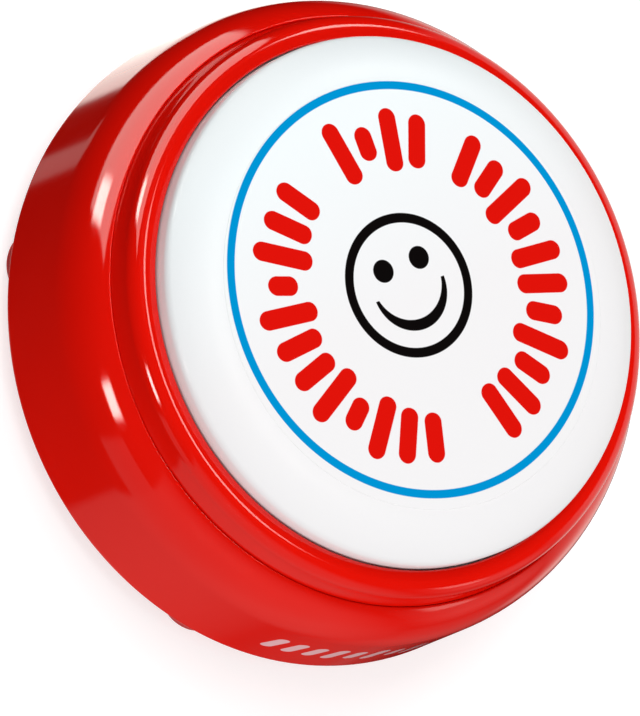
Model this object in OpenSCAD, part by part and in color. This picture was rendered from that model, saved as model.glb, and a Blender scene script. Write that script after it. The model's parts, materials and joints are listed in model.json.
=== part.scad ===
// Recordable sound button: a round table-top housing with a press-down dome.
// Pressing the dome closes a switch and plays a recorded message through a
// speaker in the base. A second, small button under the base starts recording.
// Origin: centre of the footprint, on the table. +Z up, front towards -Y.

/* [Housing] */
// Diameter at the bottom edge of the red housing
housing_d = 92; // [91:0.5:96]
// Height of the housing from its bottom edge to the seat of the trim ring
shoulder_h = 21.4; // [21:0.1:23]
// Wall thickness of the red mouldings
wall = 2.2; // [1.8:0.1:2.4]

/* [Dome] */
// Diameter of the white dome's side wall
dome_d = 73.5; // [72:0.5:74]
// Radius of curvature of the dome's nearly flat top
crown_r = 600; // [400:50:900]
// Radius of the curved shoulder between the dome's top and its side
shoulder_r = 10.5; // [10:0.25:12]
// How far the dome travels when it is pressed
dome_travel = 1.8; // [1:0.1:2]
// Thickness of the dome's moulding
dome_wall = 1.8; // [1.4:0.1:2.2]

/* [Label] */
// Diameter of the round printed label on the dome
label_d = 59.4; // [56:0.2:59.6]
// Thickness of the label
label_t = 0.15; // [0.1:0.05:0.3]

/* [Base] */
// How far the rubber feet stand below the base plate
foot_drop = 2.2; // [1.6:0.1:3]
// Diameter of a rubber foot
foot_d = 11.4; // [10:0.2:11.6]
// Number of sound holes in the outer ring of the grille
grille_holes = 12; // [8:1:14]

/* [Record button] */
// Diameter of the small record button under the base
record_d = 6; // [5:0.2:6.4]
// How far the record button travels
record_travel = 1; // [0.6:0.1:1]

/* [Hidden] */

fit = 0.2;        // gap round parts that drop into a seat
touch = 0.02;     // hair gap between faces that only meet
bite = 0.4;       // how deep a feature is sunk into the wall it grows from
round_fn = 120;   // facets drawn round a large turned part
small_fn = 40;    // facets drawn round a small turned part

// Heights above the table
plate_z = foot_drop;                     // underside of the base plate
skirt_z = plate_z + 1;                   // bottom edge of the housing
floor_z = plate_z + 2.4;                 // inside face of the base plate
crease_z = skirt_z + shoulder_h;         // where the shoulder meets the trim ring
deck_top_z = crease_z - 1.2;             // deck that the dome and ring stand over
deck_z = deck_top_z - 2;                 // underside of the deck
ring_top_z = crease_z + 4.7;             // top of the trim ring
lip_z = ring_top_z - 2;                  // underside of the ring's inner lip

// Radii of the shell
housing_r = housing_d / 2;
belt_r = housing_r - 0.6;                // where the shoulder starts to turn in
belt_z = skirt_z + 12.3;
shoulder_a = 6;                          // half axes of the shoulder's ellipse
shoulder_b = shoulder_h - 12;
crease_r = housing_r - 4.85;             // rebate that the ring drops into
plate_r = housing_r - 0.6;
spigot_r = housing_r - wall - 0.3;

// Trim ring
ring_r = crease_r - fit;
ring_round = 2.2;                        // rounding of the ring's outer top edge
ring_round_r = ring_r - 0.4 - ring_round;
bore_r = dome_d / 2 + 0.35;              // the dome slides in this bore
chamber_r = bore_r + 1.6;                // room for the dome's flange below the lip
lug_angles = [15, 75, 135, 195, 255, 315];
key_angles = [90, 210, 330];

// Dome
dome_r = dome_d / 2;
dome_edge = 1.6;                         // rounding between side wall and crown
dome_side_z = ring_top_z + 1.54;         // top of the straight side wall
flange_r = chamber_r - 0.4;
flange_top_z = lip_z - 0.1;
flange_z = flange_top_z - 1.5;
crown_edge_r = 30;                       // the top meets the shoulder at this radius
crown_tilt = asin(crown_edge_r / crown_r);
bend_x = crown_edge_r - shoulder_r * sin(crown_tilt);
bend_tilt = asin((dome_r - dome_edge - bend_x) / (shoulder_r - dome_edge));
bend_z = dome_side_z - (shoulder_r - dome_edge) * cos(bend_tilt);
crown_centre_z = bend_z - (crown_r - shoulder_r) * cos(crown_tilt);
label_r = label_d / 2;

// Return springs between the deck and the dome
spring_ring_r = 22;
spring_angles = [30, 150, 270];
spring_r = 3.2;
spring_wire_r = 0.3;
spring_turns = 5;
spring_seat_z = deck_top_z + 8.8;

// Main board and its play switch
board_t = 1.6;
board_z = deck_z - 2 - board_t;
board_w = 48;
board_l = 32;
board_y = 2;
board_post = [20, 12];                   // half spacings of the board's screw posts
switch_w = 6;
switch_h = 3.5;
stem_r = 1.7;
stem_travel = 0.3;
stem_top_z = board_z + board_t + 5;
pad_z = stem_top_z - stem_travel + dome_travel + touch;
switch_hole_r = 6.5;

// Screw posts that join housing and base
post_r = 3;
post_ring_r = housing_r - 7.6;
post_angles = [55, 125, 250, 290];
case_screw_r = 1.25;

// Rubber feet, set at these angles on a ring
foot_r = foot_d / 2;
foot_ring_r = plate_r - foot_r - 0.1;
foot_angles = [38, 142, 218, 322];
foot_sink = 0.6;

// Battery bay for two AAA cells lying along X
cell_r = 5.25;
cell_l = 43.7;
nub_l = 0.8;
cell_pitch = 10.9;
bay_y = -18.6;
bay_half_w = 11;
bay_half_l = 25.3;
bay_wall = 1.2;
bay_top_z = skirt_z + 11.8;
cell_z = bay_top_z - cell_r - 0.15;
terminal_t = 0.4;

// Battery door, which swings on two tongues at its front edge
door_t = 1.5;
door_half_l = 24.4;
hinge_y = bay_y - bay_half_w + 1.8;
hinge_z = plate_z + 1;
ledge_x = 14;
ledge_w = 8;
ledge_gap = 1.1;                         // room for the door to swing past the ledges
tongue_l = 3.8;
door_edge_y = hinge_y - 1.4;
door_back_y = bay_y + bay_half_w - fit;
lug_y = -3.4;                            // the door screw's place
lug_r = 3;
door_screw_r = 0.9;

// Speaker, face down over the grille
speaker_y = 19.5;
speaker_r = 18;
speaker_z = floor_z + 0.3;
clamp_ring_r = speaker_r + 1.8;
clamp_angles = [90, 210, 330];

// Record board with its switch and the microphone
rec_board_x = [27.2, 38.4];
rec_board_y = [-10.4, 14.6];
rec_board_z = floor_z + 6;
rec_board_t = 1.2;
rec_x = 32;
rec_y = 4.6;
rec_stem_z = rec_board_z - 4.3;
rec_stem_travel = 0.28;
mic_x = 31.5;
mic_y = -4.2;
mic_r = 3;
rec_posts = [[32.8, 12.4], [36.2, -8.4]];

// Routes of the inner wires, from solder joint to solder joint
wire_r = 0.55;
speaker_route = [
    [-9, 30, 9.4], [-12, 31, 12], [-16, 28, 15],
    [-17, 22, 16.4], [-15, 16, 16.8], [-14, 13, 17.2]
];
battery_route = [
    [27.4, -21, 10], [27.6, -20.5, 14], [26.6, -17, 16.6],
    [25, -11, 16.9], [22.6, -6.5, 16.8], [20.5, -3.5, 17]
];
record_route = [
    [33, 9, 12.4], [33, 8, 14.5], [30, 6, 16.4],
    [26, 5, 16.9], [22.5, 4, 16.9], [21, 3.5, 17.2]
];

// ---------------------------------------------------------------- helpers

// Points along an ellipse from angle a0 to a1
function arc(cx, cy, rx, ry, a0, a1, n) =
    [for (i = [0:n]) let (a = a0 + (a1 - a0) * i / n) [cx + rx * cos(a), cy + ry * sin(a)]];

// Height of the dome's skin at radius r, measured depth below the outer skin
function skin(r, depth = 0) =
    r <= (crown_r - depth) * sin(crown_tilt)
        ? crown_centre_z + sqrt(pow(crown_r - depth, 2) - r * r)
        : bend_z + sqrt(pow(shoulder_r - depth, 2) - pow(r - bend_x, 2));

function unit(v) = v / norm(v);

// A smooth curve through the given points, with n steps between each two
function through(p, n) = concat(
    [for (i = [0:len(p) - 2], k = [0:n - 1])
        let (
            t = k / n,
            a = p[max(i - 1, 0)],
            b = p[i],
            c = p[i + 1],
            d = p[min(i + 2, len(p) - 1)]
        )
        b + (c - a) * t / 2 + (2 * a - 5 * b + 4 * c - d) * t * t / 2
            + (3 * b - 3 * c + d - a) * t * t * t / 2],
    [p[len(p) - 1]]
);

function tangent(p, i) = unit(p[min(i + 1, len(p) - 1)] - p[max(i - 1, 0)]);

// A round tube along points; up is any direction that the points never follow
module tube(points, r, up, sides = 8) {
    n = len(points);
    rings = [for (i = [0:n - 1])
        let (
            t = tangent(points, i),
            side = unit(cross(t, up)),
            top = cross(side, t)
        )
        for (k = [0:sides - 1])
            points[i] + r * (cos(360 * k / sides) * side + sin(360 * k / sides) * top)];
    polyhedron(
        points = rings,
        faces = concat(
            [[for (k = [0:sides - 1]) k]],
            [for (i = [0:n - 2], k = [0:sides - 1])
                let (here = i * sides, there = here + sides, next = (k + 1) % sides)
                [here + k, there + k, there + next, here + next]],
            [[for (k = [sides - 1:-1:0]) (n - 1) * sides + k]]
        )
    );
}

// Centre line of a coil along +Z whose radius runs from r0 to r1
function coil(r0, r1, z0, z1, turns, per_turn = 16) =
    [for (i = [0:turns * per_turn])
        let (t = i / (turns * per_turn), a = 360 * turns * t, r = r0 + (r1 - r0) * t)
        [r * cos(a), r * sin(a), z0 + (z1 - z0) * t]];

module at_polar(radius, angles) {
    for (a = angles)
        translate([radius * cos(a), radius * sin(a), 0])
            children();
}

module ring_piece(r_in, r_out, z0, z1, middle, sweep) {
    rotate([0, 0, middle - sweep / 2])
        translate([0, 0, z0])
            rotate_extrude(angle = sweep, $fn = round_fn)
                translate([r_in, 0])
                    square([r_out - r_in, z1 - z0]);
}

// A screw pointing up, head down, with a cross recess in its head
module pan_screw(head_r, head_h, shank_r, length, head_z) {
    translate([0, 0, head_z])
        difference() {
            union() {
                cylinder(r = head_r, h = head_h, $fn = small_fn);
                translate([0, 0, head_h - 0.1])
                    cylinder(r = shank_r, h = length + 0.1, $fn = small_fn);
            }
            for (a = [0, 90])
                rotate([0, 0, a])
                    translate([-head_r * 0.6, -0.25, -0.1])
                        cube([head_r * 1.2, 0.5, 0.1 + head_h * 0.6]);
        }
}

module rounded_box(size, r) {
    linear_extrude(size[2])
        union() {
            translate([r, 0]) square([size[0] - 2 * r, size[1]]);
            translate([0, r]) square([size[0], size[1] - 2 * r]);
            for (x = [r, size[0] - r], y = [r, size[1] - r])
                translate([x, y]) circle(r = r, $fn = small_fn);
        }
}

// ---------------------------------------------------------------- red shells

module upper_housing() {
    inner_a = shoulder_a - wall;
    inner_b = shoulder_b - wall;
    turn = asin((deck_z - belt_z) / inner_b);
    color("#d21208")
        difference() {
            union() {
                rotate_extrude($fn = round_fn)
                    polygon(concat(
                        [[switch_hole_r, deck_top_z], [switch_hole_r, deck_z]],
                        arc(belt_r - shoulder_a, belt_z, inner_a, inner_b, turn, 0, 8),
                        [[housing_r - wall, skirt_z]],
                        arc(housing_r - 0.4, skirt_z + 0.4, 0.4, 0.4, -90, 0, 3),
                        arc(belt_r - shoulder_a, belt_z, shoulder_a, shoulder_b, 0, 72, 14),
                        [[crease_r, crease_z - 0.25], [crease_r, deck_top_z]]
                    ));
                at_polar(post_ring_r, post_angles)
                    translate([0, 0, floor_z])
                        cylinder(r = post_r, h = deck_z - floor_z + bite, $fn = small_fn);
                for (x = [-1, 1], y = [-1, 1])
                    translate([x * board_post[0], board_y + y * board_post[1], board_z + board_t])
                        cylinder(r = 2.4, h = deck_z - board_z - board_t + bite, $fn = small_fn);
                at_polar(spring_ring_r, spring_angles)
                    translate([0, 0, deck_top_z - bite])
                        cylinder(r = 2.4, h = 2 + bite, $fn = small_fn);
            }
            at_polar(post_ring_r, post_angles)
                translate([0, 0, floor_z - 1])
                    cylinder(r = case_screw_r + touch, h = 11, $fn = small_fn);
            for (x = [-1, 1], y = [-1, 1])
                translate([x * board_post[0], board_y + y * board_post[1], board_z])
                    cylinder(r = 0.8 + touch, h = 5, $fn = small_fn);
            for (a = lug_angles)
                ring_piece(chamber_r + 0.3, ring_r - 0.2, deck_z - 1, deck_top_z + 1, a, 9);
        }
}

module trim_ring() {
    color("#dc150a")
        difference() {
            union() {
                rotate_extrude($fn = round_fn)
                    polygon(concat(
                        [[chamber_r, deck_top_z + touch], [ring_r, deck_top_z + touch]],
                        [[ring_r, crease_z - 0.2]],
                        [[ring_r - 0.25, crease_z + 1.2]],
                        arc(ring_round_r, ring_top_z - ring_round, ring_round, ring_round, 0, 90, 10),
                        arc(bore_r + 0.4, ring_top_z - 0.4, 0.4, 0.4, 90, 180, 3),
                        [[bore_r, lip_z], [chamber_r, lip_z]]
                    ));
                for (a = lug_angles) {
                    ring_piece(chamber_r + 0.5, ring_r - 0.4, deck_z - 0.1, deck_top_z + bite, a, 8);
                    ring_piece(chamber_r + 0.5, ring_r + 0.3, deck_z - 0.9, deck_z - 0.1, a, 8);
                }
                for (a = key_angles)
                    ring_piece(chamber_r - 0.9, chamber_r + bite, deck_top_z + 0.2, lip_z + bite, a, 5);
            }
        }
}

module base_plate() {
    color("#c81007")
        difference() {
            union() {
                translate([0, 0, plate_z])
                    rotate_extrude($fn = round_fn)
                        polygon([
                            [0, 0], [plate_r - 0.4, 0], [plate_r, 0.4], [plate_r, skirt_z - plate_z],
                            [spigot_r, skirt_z - plate_z], [spigot_r, floor_z - plate_z],
                            [0, floor_z - plate_z]
                        ]);
                translate([-bay_half_l - bay_wall, bay_y - bay_half_w - bay_wall, floor_z - bite])
                    cube([
                        2 * (bay_half_l + bay_wall),
                        2 * (bay_half_w + bay_wall),
                        bay_top_z + 1 - floor_z + bite
                    ]);
                translate([0, lug_y, floor_z - bite])
                    cylinder(r = 2.6, h = 5 + bite, $fn = small_fn);
                translate([0, speaker_y, floor_z - bite])
                    at_polar(clamp_ring_r, clamp_angles)
                        cylinder(r = 1.6, h = 1.5 + bite, $fn = small_fn);
                for (p = rec_posts)
                    translate([p[0], p[1], floor_z - bite])
                        cylinder(r = 1.8, h = rec_board_z - floor_z + bite, $fn = small_fn);
            }
            // inside of the battery bay
            translate([-bay_half_l, bay_y - bay_half_w, floor_z - touch])
                cube([2 * bay_half_l, 2 * bay_half_w, bay_top_z - floor_z + touch]);
            // door opening, leaving two ledges for the door's tongues
            difference() {
                translate([-door_half_l - fit, bay_y - bay_half_w, plate_z - 1])
                    cube([2 * (door_half_l + fit), 2 * bay_half_w, floor_z - plate_z + 2]);
                for (x = [-ledge_x, ledge_x])
                    translate([x - ledge_w / 2, bay_y - bay_half_w - 1, plate_z - 2])
                        cube([ledge_w, 1 + hinge_y - bay_y + bay_half_w, 2 + hinge_z - plate_z]);
            }
            // recess and hole for the door's screw lug
            translate([0, lug_y, plate_z - 1])
                cylinder(r = lug_r + fit, h = door_t + 1.1, $fn = small_fn);
            translate([-lug_r - fit, bay_y + bay_half_w - 0.5, plate_z - 1])
                cube([2 * (lug_r + fit), lug_y - bay_y - bay_half_w + 0.5, door_t + 1.1]);
            translate([0, lug_y, plate_z])
                cylinder(r = door_screw_r + 0.5, h = 6.6, $fn = small_fn);
            // counterbored holes for the case screws
            at_polar(post_ring_r, post_angles) {
                translate([0, 0, plate_z - 1])
                    cylinder(r = 2.8, h = 2.2, $fn = small_fn);
                translate([0, 0, plate_z])
                    cylinder(r = case_screw_r + 0.25, h = 3, $fn = small_fn);
            }
            // seats of the rubber feet
            at_polar(foot_ring_r, foot_angles)
                translate([0, 0, plate_z - 1])
                    cylinder(r = foot_r + 0.05, h = 1 + foot_sink, $fn = small_fn);
            // sound holes
            translate([0, speaker_y, plate_z - 1]) {
                cylinder(r = 1.1, h = 5, $fn = small_fn);
                at_polar(5, [for (i = [0:5]) i * 60])
                    cylinder(r = 1.1, h = 5, $fn = small_fn);
                at_polar(10, [for (i = [0:grille_holes - 1]) i * 360 / grille_holes])
                    cylinder(r = 1.1, h = 5, $fn = small_fn);
            }
            // record button hole and microphone hole
            translate([rec_x, rec_y, plate_z - 1])
                cylinder(r = record_d / 2 + 0.2, h = 5, $fn = small_fn);
            translate([mic_x, mic_y, plate_z - 1])
                cylinder(r = 0.75, h = 5, $fn = small_fn);
            // pilot holes in the posts
            translate([0, speaker_y, floor_z - 1])
                at_polar(clamp_ring_r, clamp_angles)
                    cylinder(r = 0.7 + touch, h = 4, $fn = small_fn);
            for (p = rec_posts)
                translate([p[0], p[1], floor_z - 1])
                    cylinder(r = 0.7 + touch, h = 8, $fn = small_fn);
        }
}

// ---------------------------------------------------------------- dome

// Points along the skin from radius r0 to r1
function skin_line(r0, r1, depth, n) =
    [for (i = [0:n]) let (r = r0 + (r1 - r0) * i / n) [r, skin(r, depth)]];

// Everything under the skin at the given depth
module under_skin(depth) {
    edge = dome_r - dome_wall + bite;
    rotate_extrude($fn = round_fn)
        polygon(concat(
            [[0, deck_top_z], [edge, deck_top_z]],
            skin_line(edge, crown_edge_r, depth, 8),
            skin_line(crown_edge_r, 0, depth, 10)
        ));
}

module button_dome() {
    rim = dome_r - dome_wall;
    color("#f6f6f4")
        difference() {
            union() {
                rotate_extrude($fn = round_fn)
                    polygon(concat(
                        [[rim, flange_z], [flange_r, flange_z]],
                        [[flange_r, flange_top_z], [dome_r, flange_top_z]],
                        arc(dome_r - dome_edge, dome_side_z, dome_edge, dome_edge, 0, 90 - bend_tilt, 8),
                        arc(bend_x, bend_z, shoulder_r, shoulder_r, 90 - bend_tilt, 90 - crown_tilt, 10),
                        skin_line(label_r, 0, 0, 10),
                        skin_line(0, crown_edge_r, dome_wall, 10),
                        skin_line(crown_edge_r + 0.5, rim, dome_wall, 8)
                    ));
                // ribs, spring seats and the post, trimmed to the shell
                intersection() {
                    union() {
                        for (a = [0:60:300])
                            rotate([0, 0, a])
                                translate([0, -0.6, skin(rim, dome_wall) - 1.2])
                                    cube([rim + bite, 1.2, 20]);
                        translate([0, 0, pad_z + 1.7])
                            cylinder(r = 4.5, h = 30, $fn = small_fn);
                        at_polar(spring_ring_r, spring_angles) {
                            translate([0, 0, spring_seat_z])
                                cylinder(r = 4.6, h = 30, $fn = small_fn);
                            translate([0, 0, spring_seat_z - 1.5])
                                cylinder(r = 2.4, h = 3, $fn = small_fn);
                        }
                    }
                    under_skin(dome_wall - bite);
                }
            }
            translate([0, 0, pad_z])
                cylinder(r = 2.2, h = 4.6, $fn = small_fn);
            for (a = key_angles)
                ring_piece(chamber_r - 1.2, chamber_r + 1, flange_z - 1, flange_top_z + 0.05, a, 7);
        }
}

module face_label() {
    color("#f2f2f0")
        rotate_extrude($fn = round_fn)
            polygon(concat(
                skin_line(0, label_r, 0, 10),
                skin_line(label_r, 0, -label_t, 10)
            ));
}

module plunger_pad() {
    color("#8d9298") {
        translate([0, 0, pad_z])
            rotate_extrude($fn = small_fn)
                polygon([[0, 0], [4, 0], [4.5, 0.5], [4.5, 1.7], [2.15, 1.7], [2.15, 4.4], [0, 4.4]]);
    }
}

module return_springs() {
    color("#b9bcc0")
        at_polar(spring_ring_r, spring_angles)
            tube(
                coil(spring_r, spring_r, deck_top_z + spring_wire_r + touch,
                    spring_seat_z - spring_wire_r - touch, spring_turns),
                spring_wire_r, [0, 0, 1], 6
            );
}

// ---------------------------------------------------------------- feet and screws

module rubber_feet() {
    color("#b30d06")
        at_polar(foot_ring_r, foot_angles)
            rotate_extrude($fn = small_fn)
                polygon(concat(
                    [[0, 0.2], [2.6, 0.2], [2.9, 0]],
                    arc(foot_r - 0.9, 0.9, 0.9, 0.9, -90, 0, 5),
                    [[foot_r, plate_z + foot_sink], [0, plate_z + foot_sink]]
                ));
}

module case_screws() {
    color("#9a9da1")
        at_polar(post_ring_r, post_angles)
            pan_screw(2.4, 1, case_screw_r, 9, plate_z + 0.2);
}

module board_screws() {
    color("#9a9da1")
        for (x = [-1, 1], y = [-1, 1])
            translate([x * board_post[0], board_y + y * board_post[1], 0])
                pan_screw(1.8, 0.8, 0.8, 4.2, board_z - 0.8);
}

module speaker_clamp_screws() {
    color("#9a9da1")
        translate([0, speaker_y, 0])
            at_polar(clamp_ring_r, clamp_angles)
                translate([0, 0, speaker_z + 1.2 + touch])
                    mirror([0, 0, 1])
                        pan_screw(2.8, 0.8, 0.7, 2.2, -0.8);
}

module record_board_screws() {
    color("#9a9da1")
        for (p = rec_posts)
            translate([p[0], p[1], rec_board_z + rec_board_t])
                mirror([0, 0, 1])
                    pan_screw(1.6, 0.8, 0.7, 5, -0.8);
}

// ---------------------------------------------------------------- battery bay

module battery_door() {
    color("#c81007")
        difference() {
            union() {
                translate([-door_half_l, door_edge_y, plate_z])
                    cube([2 * door_half_l, door_back_y - door_edge_y, door_t]);
                translate([0, lug_y, plate_z])
                    cylinder(r = lug_r, h = door_t, $fn = small_fn);
                translate([-lug_r, door_back_y - 1, plate_z])
                    cube([2 * lug_r, lug_y - door_back_y + 1, door_t]);
                for (x = [-ledge_x, ledge_x])
                    translate([x - ledge_w / 2, door_edge_y, hinge_z + 0.05])
                        cube([ledge_w, tongue_l, 1]);
            }
            for (x = [-ledge_x, ledge_x])
                translate([x - ledge_w / 2 - 0.3, door_edge_y - 1, plate_z - 1])
                    cube([ledge_w + 0.6, hinge_y - door_edge_y + 1 + ledge_gap, hinge_z - plate_z + 1.05]);
            // countersunk hole for the screw
            translate([0, lug_y, plate_z - 0.1])
                cylinder(r1 = 2.2, r2 = 1.1, h = 1.1, $fn = small_fn);
            translate([0, lug_y, plate_z])
                cylinder(r = 1.1, h = 3, $fn = small_fn);
            // finger grooves in the outer face
            for (x = [-6, -3, 0, 3, 6])
                translate([x - 0.5, hinge_y + 5, plate_z - 1])
                    cube([1, 9, 1.4]);
        }
}

module battery_door_screw() {
    color("#9a9da1")
        translate([0, lug_y, plate_z])
            difference() {
                rotate_extrude($fn = small_fn)
                    polygon([
                        [0, 0.15], [1.9, 0.15], [door_screw_r, 1.15],
                        [door_screw_r, 4.6], [0.5, 5], [0, 5]
                    ]);
                for (a = [45, 135])
                    rotate([0, 0, a])
                        translate([-1.1, -0.22, 0])
                            cube([2.2, 0.44, 0.75]);
            }
}

module battery_door_foam() {
    color("#3a3a3c")
        translate([-14, bay_y - 6, plate_z + door_t])
            cube([28, 13, cell_z - cell_r - plate_z - door_t - 0.05]);
}

// A cell with its nub towards +X
module battery_cell(jacket) {
    rotate([0, 90, 0]) {
        color(jacket)
            translate([0, 0, -cell_l / 2])
                cylinder(r = cell_r, h = cell_l, $fn = small_fn);
        color("#c9ccd0")
            translate([0, 0, cell_l / 2 - bite])
                cylinder(r = 1.9, h = nub_l + bite, $fn = small_fn);
    }
}

cell_shift = bay_half_l - terminal_t - touch - nub_l - cell_l / 2;

module battery_cell_front() {
    translate([cell_shift, bay_y - cell_pitch / 2, cell_z])
        battery_cell("#30343a");
}

module battery_cell_rear() {
    translate([-cell_shift, bay_y + cell_pitch / 2, cell_z])
        rotate([0, 0, 180])
            battery_cell("#30343a");
}

module battery_springs() {
    gap = bay_half_l - terminal_t - (cell_l / 2 - cell_shift);
    color("#b9bcc0")
        for (side = [-1, 1])
            translate([side * (bay_half_l - terminal_t - touch), bay_y + side * cell_pitch / 2, cell_z])
                rotate([0, -90 * side, 0])
                    tube(coil(3.6, 2.2, 0.3, gap - 0.3 - 2 * touch, 3.5), 0.28, [0, 0, 1], 6);
}

module battery_terminals() {
    plate_h = 9;
    color("#c3c6ca") {
        // link plate at the -X end joins the two cells
        translate([-bay_half_l, bay_y - 10, cell_z - plate_h / 2])
            cube([terminal_t, 20, plate_h]);
        // separate plates at the +X end, one for each lead
        for (y = [bay_y - 9.8, bay_y + 1.2])
            translate([bay_half_l - terminal_t, y, cell_z - plate_h / 2])
                cube([terminal_t, 8.6, plate_h]);
    }
}

// ---------------------------------------------------------------- electronics

module main_board() {
    color("#1f6b3a")
        difference() {
            translate([-board_w / 2, board_y - board_l / 2, board_z])
                rounded_box([board_w, board_l, board_t], 2);
            for (x = [-1, 1], y = [-1, 1])
                translate([x * board_post[0], board_y + y * board_post[1], board_z - 1])
                    cylinder(r = 1, h = 4, $fn = small_fn);
        }
}

module sound_chip() {
    color("#17181a")
        translate([11, -4, board_z])
            rotate([180, 0, 0])
                rotate_extrude($fn = small_fn)
                    polygon(concat([[0, 0]], arc(0, 0, 4.2, 1.1, 0, 90, 8)));
}

module board_capacitors() {
    color("#22262c")
        for (y = [4, 10])
            translate([-8, y, board_z + board_t])
                cylinder(r = 1.9, h = deck_z - board_z - board_t - 0.4, $fn = small_fn);
}

module board_resistors() {
    color("#2a2c30")
        for (x = [9, 12, 15], y = [6, 10])
            translate([x, y, board_z + board_t])
                cube([1.6, 0.9, 0.5]);
}

module play_switch_body() {
    color("#1b1c1f")
        difference() {
            translate([-switch_w / 2, -switch_w / 2, board_z + board_t])
                cube([switch_w, switch_w, switch_h]);
            translate([0, 0, board_z + board_t + switch_h - 1])
                cylinder(r = stem_r + 0.08, h = 2, $fn = small_fn);
        }
}

module play_switch_stem() {
    bottom = board_z + board_t + switch_h - 0.6;
    color("#d8d8d4")
        translate([0, 0, bottom])
            cylinder(r = stem_r, h = stem_top_z - bottom, $fn = small_fn);
}

// ---------------------------------------------------------------- speaker

module speaker_basket() {
    color("#a9adb2")
        translate([0, speaker_y, speaker_z])
            difference() {
                rotate_extrude($fn = 72)
                    polygon([[15.6, 0], [speaker_r, 0], [speaker_r, 1.2], [15.9, 1.2], [10.4, 4.6],
                        [9.4, 4.6], [9.4, 5.6], [4, 5.6], [4, 4.8], [9, 4.8], [9, 4], [15, 0.6]]);
                for (a = [30:60:330])
                    rotate([0, 0, a])
                        translate([10.8, -2.2, 1.6])
                            cube([4, 4.4, 6]);
            }
}

module speaker_cone() {
    color("#26231f")
        translate([0, speaker_y, speaker_z])
            rotate_extrude($fn = 72)
                polygon(concat(
                    [[0, 1.2], [3, 1.5], [5.2, 2.4], [12.8, 0.55]],
                    [[15.25, 0.2], [15.25, 0], [12.9, 0.25], [5.2, 2.05], [3.2, 1.2], [0, 0.9]]
                ));
}

module speaker_magnet() {
    color("#6f7378")
        translate([0, speaker_y, speaker_z + 5.6])
            rotate_extrude($fn = 48)
                polygon([[0, 0], [8.5, 0], [8.5, 2.8], [8.1, 3.2], [0, 3.2]]);
}

module speaker_gasket() {
    color("#2c2c2e")
        translate([0, speaker_y, floor_z])
            difference() {
                cylinder(r = 17.2, h = 0.3, $fn = 72);
                translate([0, 0, -1])
                    cylinder(r = 13, h = 3, $fn = 72);
            }
}

module microphone_boot() {
    color("#333338")
        translate([mic_x, mic_y, floor_z])
            difference() {
                cylinder(r = mic_r + 0.7, h = 5, $fn = small_fn);
                translate([0, 0, 0.8])
                    cylinder(r = mic_r + touch, h = 6, $fn = small_fn);
                translate([0, 0, -1])
                    cylinder(r = 0.75, h = 3, $fn = small_fn);
            }
}

module microphone_capsule() {
    color("#c0c3c7")
        translate([mic_x, mic_y, floor_z + 0.8 + touch]) {
            cylinder(r = mic_r, h = 4.4, $fn = small_fn);
            for (x = [-1, 1])
                translate([x, 0, 4.3])
                    cylinder(r = 0.25, h = rec_board_z - floor_z - 5.1 - 2 * touch, $fn = 16);
        }
}

// ---------------------------------------------------------------- record button

module record_board() {
    color("#1f6b3a")
        difference() {
            translate([rec_board_x[0], rec_board_y[0], rec_board_z])
                rounded_box([
                    rec_board_x[1] - rec_board_x[0],
                    rec_board_y[1] - rec_board_y[0],
                    rec_board_t
                ], 1.2);
            for (p = rec_posts)
                translate([p[0], p[1], rec_board_z - 1])
                    cylinder(r = 0.9, h = 4, $fn = small_fn);
        }
}

module record_switch_body() {
    color("#1b1c1f")
        difference() {
            translate([rec_x - switch_w / 2, rec_y - switch_w / 2, rec_board_z - switch_h])
                cube([switch_w, switch_w, switch_h]);
            translate([rec_x, rec_y, rec_board_z - switch_h - 1])
                cylinder(r = stem_r + 0.08, h = 2, $fn = small_fn);
        }
}

module record_switch_stem() {
    color("#d8d8d4")
        translate([rec_x, rec_y, rec_stem_z])
            cylinder(r = stem_r, h = rec_board_z - switch_h + 0.6 - rec_stem_z, $fn = small_fn);
}

module record_button() {
    nib_z = rec_stem_z + rec_stem_travel - record_travel - touch;
    color("#2f3136")
        translate([rec_x, rec_y, 0])
            rotate_extrude($fn = small_fn)
                polygon([
                    [0, plate_z + 0.7], [1.6, plate_z + 0.55], [record_d / 2 - 0.4, plate_z + 0.5],
                    [record_d / 2, plate_z + 0.9], [record_d / 2, floor_z + 0.05],
                    [record_d / 2 + 0.9, floor_z + 0.05], [record_d / 2 + 0.9, floor_z + 0.8],
                    [1.2, floor_z + 0.8], [1.2, nib_z], [0, nib_z]
                ]);
}

// ---------------------------------------------------------------- wires

module wire_pair(route, gap, first, second, up) {
    color(first) tube(through(route, 4), wire_r, up);
    color(second) tube([for (p = through(route, 4)) p + gap], wire_r, up);
}

module speaker_wires() {
    wire_pair(speaker_route, [2.2, 0, 0], "#b3201a", "#1c1c1e", [1, 0, 1]);
}

module battery_wires() {
    wire_pair(battery_route, [2, 0.6, 0], "#b3201a", "#1c1c1e", [1, 0.3, -0.5]);
}

module record_wires() {
    wire_pair(record_route, [0, -2, 0], "#e0e0dc", "#2b62b8", [0, 1, 0]);
}

// ---------------------------------------------------------------- assembly

upper_housing();
trim_ring();
button_dome();
face_label();
plunger_pad();
return_springs();
base_plate();
rubber_feet();
case_screws();
battery_door();
battery_door_screw();
battery_door_foam();
battery_cell_front();
battery_cell_rear();
battery_springs();
battery_terminals();
main_board();
board_screws();
sound_chip();
board_capacitors();
board_resistors();
play_switch_body();
play_switch_stem();
speaker_basket();
speaker_cone();
speaker_magnet();
speaker_gasket();
speaker_clamp_screws();
microphone_capsule();
microphone_boot();
record_board();
record_board_screws();
record_button();
record_switch_body();
record_switch_stem();
speaker_wires();
battery_wires();
record_wires();
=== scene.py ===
# %% [markdown]
# A recordable sound button stands on a table: a red round housing, a red trim ring, and a white
# dome that is pressed with the palm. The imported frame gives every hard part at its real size.
# Here the parts that show get finer surfaces, and every part gets a worked-out finish.

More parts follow.
